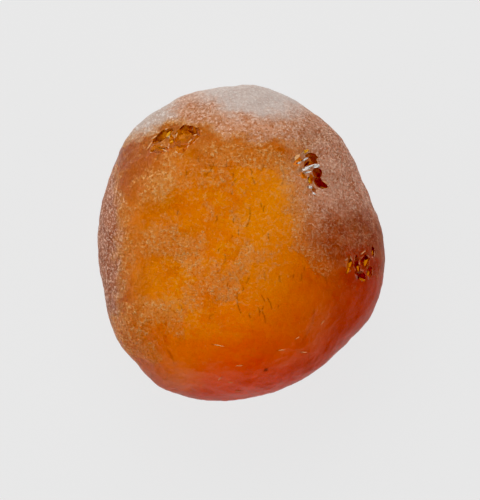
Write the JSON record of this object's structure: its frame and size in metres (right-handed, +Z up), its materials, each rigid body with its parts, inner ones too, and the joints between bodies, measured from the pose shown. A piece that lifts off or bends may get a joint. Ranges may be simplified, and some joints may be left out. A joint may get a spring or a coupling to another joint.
{
  "type": "raw amber nodule",
  "caption": "Flattened, rounded lump of raw see-through amber with a frosted sea-worn skin and small fresh chips, resting on a flat worn patch of its underside.",
  "frame": {"origin": "centre of the lump's bounding box, on the level it rests on", "axes": "+Z up through its thickness, +Y along its longest side, +X across its width"},
  "size_m": [0.047, 0.052, 0.024],
  "materials": {
    "amber": "see-through orange-brown resin with a frosted, partly crusted skin; glossy where freshly chipped"
  },
  "bodies": {
    "root": {"amber_nodule": "amber"}
  },
  "joints": []
}
